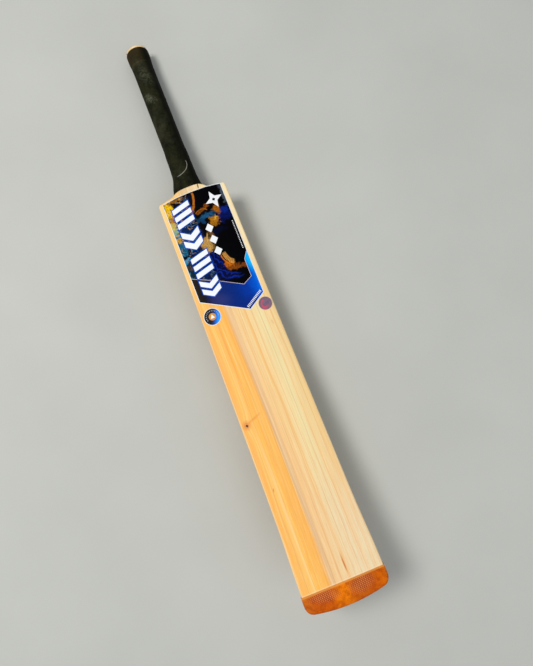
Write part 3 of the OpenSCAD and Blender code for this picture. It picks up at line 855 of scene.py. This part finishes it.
def guard_paint():
    """Open-weave cloth in amber resin: glossy, darker where the weave shows."""
    p = Paint("toe_cloth", Specular_IOR_Level=0.05)
    warp = p.math("SINE", p.mul(p.x, 2 * math.pi / WEAVE))
    weft = p.math("SINE", p.mul(p.add(p.y, p.mul(p.z, 0.8)), 2 * math.pi / WEAVE))
    weave = p.mul(warp, weft)
    cloud = p.grain(0.10, 0.12, 0.12, 4.0, 0.6)
    speck = p.noise(p.p, 0.8, 4.0, 0.7)
    p.base = p.ramp(p.madd(p.x, 1 / GUARD_SPREAD, 0.5), [
        (0.00, (204, 110, 30)), (0.06, (200, 100, 20)), (0.14, (190, 80, 2)),
        (0.32, (196, 84, 0)), (0.37, (228, 116, 0)), (0.52, (234, 124, 0)),
        (0.575, (200, 92, 2)), (0.66, (190, 88, 8)), (0.80, (192, 84, 4)),
        (0.93, (208, 98, 2)), (1.00, (210, 112, 20)),
    ])
    p.lay(p.range(cloud, 0.44, 0.62, 0.65), 158, 58, 0)
    p.lay(p.range(speck, 0.5, 0.75, 0.55), 238, 130, 10)
    # The weave's pale dots show in two patches near the top edge.
    patches = p.math("MAXIMUM", p.blob(-27, 19, 16, 6, -8, 0.6), p.blob(21, 17, 14, 8, 6, 0.6))
    patches = p.mul(patches, p.range(speck, 0.30, 0.52, 1.0, 0.35))
    p.lay(p.mul(patches, 0.45), 156, 66, 22)
    dots = p.mul(p.range(weave, 0.15, 0.8), p.mul(patches, 0.72))
    p.lay(dots, 226, 168, 120)
    p.lay(p.mul(p.range(weave, -0.1, -0.8), p.madd(patches, 0.3, 0.12)), 120, 44, 6)
    lip = p.soft(p.y, GUARD_H - 3.0, GUARD_H - 0.8, 0.75)
    p.lay(lip, 226, 152, 70)
    p.lay(p.soft(p.y, 6, 2, 0.3), 170, 80, 16)
    return p.finished(p.range(speck, 0.3, 0.7, 0.5, 0.34),
                      p.madd(weave, p.madd(patches, 0.4, 0.12), p.mul(cloud, 2.4)), 0.12, 0.7)


def art_paint():
    """Abstract print: near-black ground with gold, teal and blue marbled clouds."""
    p = Paint("sticker_art", Specular_IOR_Level=0.02)
    w1 = p.noise(p.vec(p.mul(p.x, 0.12), p.mul(p.y, 0.12), 3.1), 1.0, 2.0, 0.55)
    w2 = p.noise(p.vec(p.mul(p.x, 0.12), p.mul(p.y, 0.12), 8.7), 1.0, 2.0, 0.55)
    x = p.sway(p.x, w1, 15.0)
    y = p.sway(p.y, w2, 15.0)
    streak = p.noise(p.vec(p.mul(x, 0.12), p.mul(y, 0.08), 1.3), 1.0, 1.6, 0.5, 1.0)
    ragged = p.noise(p.vec(p.mul(x, 0.16), p.mul(y, 0.30), 5.9), 1.0, 4.0, 0.65, 1.2)
    grit = p.noise(p.p, 0.9, 4.0, 0.7)
    p.base = p.mix(p.range(streak, 0.5, 0.8, 0.35), srgb(1, 1, 2), srgb(8, 9, 16))

    def clouds(rows):
        for cx, cy, sx, sy, turn, tone, strength in rows:
            reach = p.sway(p.dist(cx, cy, sx, sy, turn, x, y), ragged, 1.5)
            mask = p.mul(p.soft(reach, 1.32, 0.74), strength)
            p.lay(mask, *tone)

    clouds(BLUE_CLOUDS)
    # Rings of royal blue round the foot of the ribbed arc.
    reach = p.dist(24, 488, 1, 1.2, 0, x, y)
    rings = p.range(p.math("SINE", p.mul(reach, 2 * math.pi / INK_RINGS)), 0.0, 0.9, 0.9)
    here = p.math("MAXIMUM", p.blob(-1, 466, 8, 21, 8, 0.5), p.blob(10, 447, 15, 5, -22, 0.5))
    p.lay(p.mul(rings, here), 8, 44, 160)
    clouds(GOLD_CLOUDS)
    # Marbling: dark and bright contour lines of the same slow noise.
    lines = p.off(p.math("FRACT", p.mul(streak, 17.0)), 0.5)
    p.lay(p.range(lines, 0.24, 0.08, 0.65), 3, 4, 9)
    flow = p.noise(p.vec(p.madd(x, 0.05, p.mul(y, 0.02)), p.mul(y, 0.045), 4.4), 1.0, 0.6, 0.5, 0.6)
    bends = p.off(p.math("FRACT", p.mul(flow, 15.0)), 0.5)
    left = p.soft(p.x, -5, -12)
    thin = p.range(bends, 0.34, 0.46)
    gold = p.mul(p.mul(thin, p.range(w1, 0.49, 0.56, 0.85)), left)
    gold = p.mul(gold, p.range(p.y, 475, 515, 1.0, 0.35))
    p.lay(gold, 206, 146, 44)
    pale = p.mul(p.mul(thin, p.range(w2, 0.50, 0.56, 0.6)), left)
    p.lay(pale, 70, 150, 186)
    # A ribbed gold arc and bent ribbons, drawn sharply over the clouds.
    for cx, cy, rx, ry, turn, a_from, a_to, wide, ribs, tone in ART_ARCS:
        ring = p.sway(p.dist(cx, cy, rx, ry, turn), w2, 0.10)
        body = p.soft(p.off(ring, 1.0), wide / rx, 0.6 * wide / rx)
        angle = p.math("ARCTAN2", p.sub(p.y, cy), p.sub(p.x, cx))
        span = p.mul(p.range(angle, a_from, a_from + 0.12), p.range(angle, a_to, a_to - 0.12))
        body = p.mul(body, span)
        if ribs:
            bead = p.math("SINE", p.mul(angle, ribs))
            body = p.mul(body, p.range(bead, -0.8, 0.1, 1.0, 0.15))
        body = p.mul(body, p.range(ragged, 0.34, 0.5, 0.95, 0.45))
        p.lay(body, *tone)
    p.lay(p.range(grit, 0.6, 0.85, 0.06), 40, 44, 60)
    return p.finished(p.range(grit, 0.3, 0.7, 0.42, 0.32), grit, 0.02, 0.3)


def panel_paint():
    """Lower band of the sticker: near-black brown to royal blue foil, azure at the edge."""
    p = Paint("sticker_foil", Specular_IOR_Level=0.03)
    sparkle = p.noise(p.p, 1.6, 4.0, 0.8)
    cloud = p.noise(p.p, 0.07, 3.0)
    x = p.sway(p.x, cloud, 12.0)
    p.base = p.ramp(p.madd(x, 1 / FOIL_SPREAD, 0.5), [
        (0.00, (36, 26, 12)), (0.12, (14, 10, 10)), (0.22, (22, 24, 66)),
        (0.40, (10, 34, 102)), (0.62, (0, 38, 122)), (0.80, (0, 52, 156)),
        (0.92, (0, 84, 204)), (1.00, (0, 120, 236)),
    ])
    glow = p.blob(43, 461, 5.5, 15, 0, 0.8)
    p.lay(p.mul(glow, 0.9), 20, 190, 255)
    tip = p.blob(20, 398, 16, 9, 25, 0.8)
    p.lay(p.mul(tip, 0.6), 8, 30, 112)
    haze = p.blob(-17, 419, 13, 8, -28, 0.9)
    p.lay(p.mul(haze, 0.6), 48, 56, 118)
    # Painted glints: the foil's sparkle picked out brighter, strongest on the left.
    lit = p.mul(p.range(sparkle, 0.52, 0.80, 0.6), p.range(p.x, -38, -22, 1.0, 0.1))
    p.lay(lit, 40, 92, 196)
    p.lay(p.range(sparkle, 0.46, 0.24, 0.6), 4, 8, 40)
    return p.finished(p.range(sparkle, 0.3, 0.7, 0.42, 0.30), sparkle, 0.03, 0.4)


def ink_paint(name, tone, dark, scale=0.9, **shader):
    """Plain printed colour with the faint mottling of ink on film."""
    shader.setdefault("Specular_IOR_Level", 0.25)
    p = Paint(name, **shader)
    mottle = p.noise(p.p, scale, 4.0, 0.6)
    slow = p.noise(p.p, 0.05, 2.0)
    p.base = p.mix(p.range(mottle, 0.45, 0.8, 0.6), srgb(*tone), srgb(*dark))
    p.lay(p.range(slow, 0.5, 0.75, 0.35), *dark)
    return p.finished(p.range(mottle, 0.3, 0.7, 0.46, 0.34), mottle, 0.015, 0.3)


# Colour clouds of the sticker's print: centre, half sizes, turn, colour, strength.
BLUE_CLOUDS = [
    (-24, 520, 15, 24, 0, (6, 40, 88), 0.95), (-22, 476, 15, 24, 0, (5, 30, 80), 0.95),
    (-10, 574, 9, 7, 0, (6, 14, 36), 0.8), (-1, 466, 9, 22, 10, (1, 8, 62), 0.95),
    (10, 447, 17, 6, -22, (4, 12, 60), 0.9), (35, 535, 12, 9, 12, (5, 20, 92), 1.0),
    # The last cloud on the next line, grey-blue along the right edge, is a painted sheen.
    (36, 541, 6, 4, 12, (12, 40, 140), 0.8), (43.5, 564, 3.5, 18, 0, (74, 84, 98), 0.9),
    (9, 541, 13, 5, 8, (30, 88, 130), 0.85), (-1, 536, 7, 3.5, 0, (16, 60, 100), 0.8),
    (-41, 536, 6, 6, 0, (150, 186, 150), 0.95), (-40, 526, 6, 4, 0, (36, 130, 160), 0.9),
    (-41, 508, 7, 10, 0, (18, 96, 128), 0.95), (-42, 488, 6, 3, 15, (44, 148, 196), 0.9),
    (-42, 472, 6, 10, 0, (8, 44, 62), 0.9), (20, 514, 10, 6, 0, (3, 8, 40), 0.8),
    (26, 500, 12, 14, 0, (1, 1, 2), 1.0), (30, 484, 10, 10, 0, (1, 1, 2), 1.0),
    (14, 572, 11, 9, 0, (1, 1, 3), 1.0), (31, 440, 8, 10, 0, (2, 2, 4), 1.0),
]
GOLD_CLOUDS = [
    (-42, 545, 5, 6, 0, (222, 196, 96), 0.9), (-41, 521, 6, 3, 10, (206, 156, 50), 0.9),
    (-41, 569, 6, 11, 0, (255, 200, 4), 1.0), (-38, 553, 6, 5, 20, (190, 120, 10), 0.9),
    (-28, 580, 11, 3, 0, (156, 100, 16), 0.85), (-10, 558, 5, 4, 0, (110, 72, 20), 0.7),
    (17.5, 531, 8, 6, 25, (180, 116, 22), 0.95), (26, 546, 5, 6, 0, (168, 98, 16), 0.95),
    (20, 534, 4, 3, 40, (236, 178, 60), 0.9), (-5.5, 501, 8, 11, 10, (196, 152, 80), 1.0),
    (6, 512, 3.5, 7, 30, (130, 90, 36), 0.7), (6, 553, 10, 2.6, 12, (140, 76, 14), 0.85),
    (14, 462, 6, 6, -40, (188, 98, 12), 1.0), (24, 456, 12, 3.4, -14, (138, 70, 14), 0.95),
    (34, 453, 5, 3, -10, (120, 58, 12), 0.85),
]
# Arcs: centre, radii, turn, start and end angle, half width, ribs, colour.
ART_ARCS = [
    (-20.0, 583.0, 21.0, 33.0, 0, -1.35, -0.02, 1.9, 0, (182, 104, 26)),
    (29.0, 484.0, 17.0, 22.0, 0, -3.05, -1.85, 3.6, 56, (222, 158, 74)),
    (29.0, 484.0, 22.0, 28.0, 0, -3.0, -1.95, 1.0, 0, (206, 108, 16)),
    (9.0, 504.0, 12.0, 17.0, 0, 2.1, 3.12, 1.3, 52, (222, 172, 96)),
    (3.0, 547.0, 10.0, 6.5, 10, 0.2, 2.8, 1.0, 0, (166, 92, 22)),
]
FOIL_SPREAD, INK_RINGS = 92, 6.4
# The grip's scratch: centre and radius.
SCRATCH = (-8.5, 635.0, 18.6)
DISC_LEFT = (-35.6, BLADE_LEN - 180.6)
DISC_RIGHT = (40.8, BLADE_LEN - 190.2)


def disc_ring_paint():
    """Round print that turns from black on the left to azure on the right."""
    p = Paint("disc_ring", Specular_IOR_Level=0.05)
    cx, cy = DISC_LEFT
    sweep = p.add(p.mul(p.sub(p.x, cx), 0.055), p.mul(p.sub(p.y, cy), -0.022))
    mottle = p.noise(p.p, 1.1, 3.0)
    p.base = p.ramp(p.add(p.add(sweep, 0.5), p.mul(p.sub(mottle, 0.5), 0.1)), [
        (0.0, (8, 8, 12)), (0.42, (12, 18, 36)), (0.62, (18, 54, 130)),
        (0.86, (20, 118, 228)), (1.0, (40, 150, 250)),
    ])
    return p.finished(p.range(mottle, 0.3, 0.7, 0.42, 0.30), mottle, 0.02, 0.3)


def disc_foil_paint():
    """Pearly violet foil with a soft rose swirl."""
    p = Paint("disc_foil", Specular_IOR_Level=0.3)
    cx, cy = DISC_RIGHT
    flake = p.noise(p.p, 1.7, 4.0, 0.8)
    soft = p.noise(p.p, 0.22, 3.0)
    p.base = p.mix(p.range(flake, 0.35, 0.7), srgb(90, 62, 84), srgb(150, 124, 142))
    p.lay(p.range(soft, 0.45, 0.7, 0.5), 86, 74, 112)
    ring = p.soft(p.off(p.dist(cx - 1.0, cy - 0.5, 1, 1.15), 4.6), 1.6, 0.5)
    side = p.range(p.x, cx + 0.5, cx - 2.5)
    p.lay(p.mul(p.mul(ring, side), 0.85), 206, 70, 92)
    low = p.blob(cx - 3, cy - 7.0, 6, 2.4, 25, 0.6)
    p.lay(p.mul(low, 0.6), 196, 74, 100)
    return p.finished(p.range(flake, 0.3, 0.7, 0.44, 0.30), flake, 0.03, 0.5)


# ---------------------------------------------------------------- the pieces
settle(blade_mesh(), "willow", willow_paint(), "blade")
settle(guard_mesh(), "toe_cloth", guard_paint(), "toe_guard")
settle(grip_mesh(), "grip_rubber", grip_paint(), "grip")

# Internal and end-grain pieces keep their CAD shape and get their own materials.
CANE_TONES = [(244, 217, 170), (241, 210, 160), (247, 220, 174)]
cane_paints = [cane_paint(f"cane_{k}", tone, 7.3 * k) for k, tone in enumerate(CANE_TONES)]
spring_mat, twine_mat = spring_paint(), twine_paint()
for index, (node_name, node_obj) in enumerate(sorted(frame["nodes"].items())):
    if node_name.startswith("cane_"):
        chosen = cane_paints[(index * 5 + index // 3) % 3]
    elif node_name.startswith("spring_"):
        chosen = spring_mat
    elif node_name == "twine_binding":
        chosen = twine_mat
    else:
        continue
    for node_slot in node_obj.material_slots:
        node_slot.material = chosen

# Large sticker: white film, art panel, foil panel, divider, and plain bold shapes.
TOP_Y = BLADE_LEN - 0.2
STICKER_LEFT = STICKER_HALF + 0.6
STICKER = [
    (-STICKER_LEFT, BLADE_LEN - 155.2), (18.5, BLADE_LEN - 191.1),
    (STICKER_HALF, BLADE_LEN - 174.2), (STICKER_HALF, TOP_Y - 0.3),
    (STICKER_HALF / 2, TOP_Y + 2.8), (0, TOP_Y + 3.2), (-STICKER_HALF / 2, TOP_Y + 2.5),
    (-STICKER_LEFT, TOP_Y - 0.6),
]
BORDER = 0.85
FILM_TOP = SHEET_GAP + STICKER_T
INK = 0.02
white_film = ink_paint("film_white", (236, 238, 238), (218, 220, 220), 0.7)
inner = inset(STICKER, BORDER)
left_in, right_in = inner[0][0], inner[2][0]
DIVIDER = [(left_in, 462.6), (-7.8, 444.6), (22.9, 427.6), (36.8, 435.0), (36.8, 461.8),
           (right_in, 472.8)]
art_outline = DIVIDER + inner[3:]
foil_outline = inner[:3] + DIVIDER[::-1]


def bars(x0, x1, y_top, count, thick, gap, slant):
    """Slanted parallel bars stacked downwards from y_top."""
    out = []
    for k in range(count):
        y = y_top - k * (thick + gap)
        out.append([(x0, y - thick), (x1, y - thick + slant), (x1, y + slant), (x0, y)])
    return out


def chevrons(x0, x1, y_top, count, thick, gap, dip):
    """Arrowheads pointing towards the toe."""
    out = []
    mid = (x0 + x1) / 2
    for k in range(count):
        y = y_top - k * (thick + gap)
        out.append([(x0, y - thick), (mid, y - thick - dip), (x1, y - thick),
                    (x1, y), (mid, y - dip), (x0, y)])
    return out


BLOCK = (-35.8, -8.8)
big_shapes = (
    bars(*BLOCK, 566.5, 3, 7.2, 4.2, 7.0)
    + chevrons(*BLOCK, 532.0, 2, 9.4, 4.6, 8.5)
    + bars(*BLOCK, 489.0, 3, 7.4, 4.2, 7.0)
    + chevrons(*BLOCK, 455.0, 2, 8.0, 4.2, 8.0)
)
diamonds = [rotated([(-6.2, 0), (0, -7.0), (6.2, 0), (0, 7.0)], 6.3, y, 0)
            for y in (523.0, 505.0, 487.0)]
STAR_AT, STAR_R, STAR_NOTCH = (27.2, 561.0), 13.6, 5.6
star = [rotated([(STAR_R if k % 2 == 0 else STAR_NOTCH, 0)], *STAR_AT, 12 + 45 * k)[0]
        for k in range(8)]
star_eye = rotated([(-2.6, 0), (0, -2.6), (2.6, 0), (0, 2.6)], *STAR_AT, 12)
OUTSET = 1.3
halo = [inset(shape, -OUTSET) for shape in big_shapes]
ticks = [[(40.2, y), (41.5, y), (41.5, y + 1.2), (40.2, y + 1.2)]
         for y in np.linspace(478, 520.5, 18)]
edge_a, edge_b = Vector((17.8, 393.4)), Vector((41.6, 408.6))
edge_angle = math.degrees(math.atan2(*(edge_b - edge_a).yx))
tick = [(-0.6, 0.2), (0.6, 0.2), (0.6, 3.7), (-0.6, 3.7)]
ticks += [rotated(tick, *edge_a.lerp(edge_b, k / 12), edge_angle) for k in range(13)]
ink_white = ink_paint("ink_white", (238, 240, 242), (222, 226, 230))
ink_blue = ink_paint("ink_blue", (0, 74, 184), (0, 46, 124), Specular_IOR_Level=0.04)
ink_navy = ink_paint("ink_navy", (12, 14, 40), (6, 8, 24))
silver = ink_paint("divider_silver", (206, 190, 196), (160, 140, 152))
settle_prints("sticker_print", [
    ("sticker_film", [STICKER], SHEET_GAP, STICKER_T, white_film, "face_sticker"),
    ("sticker_art", [art_outline], FILM_TOP, INK, art_paint()),
    ("sticker_foil", [foil_outline], FILM_TOP, INK, panel_paint()),
    ("sticker_divider", strip(DIVIDER, 0.32), FILM_TOP + INK, INK, silver),
    ("sticker_outline", halo, FILM_TOP + 2 * INK, INK, ink_blue),
    ("sticker_bars", big_shapes, FILM_TOP + 3 * INK, INK, ink_white),
    ("sticker_diamonds", diamonds, FILM_TOP + INK, 2 * INK, ink_white),
    ("sticker_star", [star], FILM_TOP + INK, 2 * INK, ink_white),
    ("sticker_star_eye", [star_eye], FILM_TOP + 3 * INK, INK, ink_navy),
    ("sticker_ticks", ticks, FILM_TOP + INK, 2 * INK, ink_white),
])

# Round sticker on the left: white rim, shaded ring, orange middle, plain triangle.
lx, ly = DISC_LEFT
dash = [(7.9, -0.45), (9.6, -0.45), (9.6, 0.45), (7.9, 0.45)]
dashes = [rotated(dash, lx, ly, 200 - 17 * k) for k in range(13)]
triangle = rotated([(-3.2, -2.2), (3.2, -2.2), (0, 3.5)], lx, ly, 0)
ink_orange = ink_paint("ink_orange", (206, 136, 34), (172, 106, 24))
ink_grey = ink_paint("ink_grey", (150, 160, 174), (96, 108, 128))
settle_prints("disc_blue", [
    ("disc_left_film", [circle(lx, ly, 12.4)], SHEET_GAP, STICKER_T, white_film, "disc_left"),
    ("disc_left_ring", [circle(lx, ly, 11.7)], FILM_TOP, INK, disc_ring_paint()),
    ("disc_left_middle", [circle(lx, ly, 5.3)], FILM_TOP + INK, INK, ink_orange),
    ("disc_left_mark", [triangle], FILM_TOP + 2 * INK, INK, ink_white),
    ("disc_left_dashes", dashes, FILM_TOP + INK, INK, ink_grey),
])

# Round sticker on the right: pale rim and pearly foil.
rx, ry = DISC_RIGHT
film_pearl = ink_paint("film_pearl", (222, 206, 188), (204, 186, 172))
settle_prints("disc_violet", [
    ("disc_right_film", [circle(rx, ry, 10.0)], SHEET_GAP, STICKER_T, film_pearl, "disc_right"),
    ("disc_right_foil", [circle(rx, ry, 9.5)], FILM_TOP, INK, disc_foil_paint()),
])

# ---------------------------------------------------------------- floor and light
def floor_paint():
    p = Paint("floor", Specular_IOR_Level=0.2, Roughness=0.85)
    soft = p.noise(p.p, 0.006, 3.0)
    tone = p.mix(soft, srgb(184, 185, 179), srgb(196, 197, 191))
    p.put(p.bsdf.inputs["Base Color"], tone)
    return p.mat


FLOOR_HALF = 6.0
floor = bpy.data.meshes.new("floor")
floor.from_pydata([(x * FLOOR_HALF, y * FLOOR_HALF, 0) for x, y in
                   ((-1, -1), (1, -1), (1, 1), (-1, 1))], [], [(0, 1, 2, 3)])
floor_obj = bpy.data.objects.new("floor", floor)
floor.materials.append(floor_paint())
SCENE.collection.objects.link(floor_obj)


def area_light(name, at, aim, size, power, tint=(1, 1, 1)):
    data = bpy.data.lights.new(name, "AREA")
    data.size = size
    data.energy = power
    data.color = tint
    lamp = bpy.data.objects.new(name, data)
    lamp.location = at
    lamp.rotation_euler = (Vector(aim) - Vector(at)).to_track_quat("-Z", "Y").to_euler()
    SCENE.collection.objects.link(lamp)


area_light("key", (-0.95, 0.55, 2.3), (0, 0, 0), 0.9, 42, (1.0, 0.985, 0.96))
area_light("fill", (0.9, -1.4, 2.2), (0, 0, 0), 2.2, 16, (0.95, 0.98, 1.0))
world = bpy.data.worlds.new("world")
world.use_nodes = True
world.node_tree.nodes["Background"].inputs[0].default_value = (0.93, 0.96, 1.0, 1)
world.node_tree.nodes["Background"].inputs[1].default_value = 0.38
SCENE.world = world
SCENE.view_settings.view_transform = "Standard"
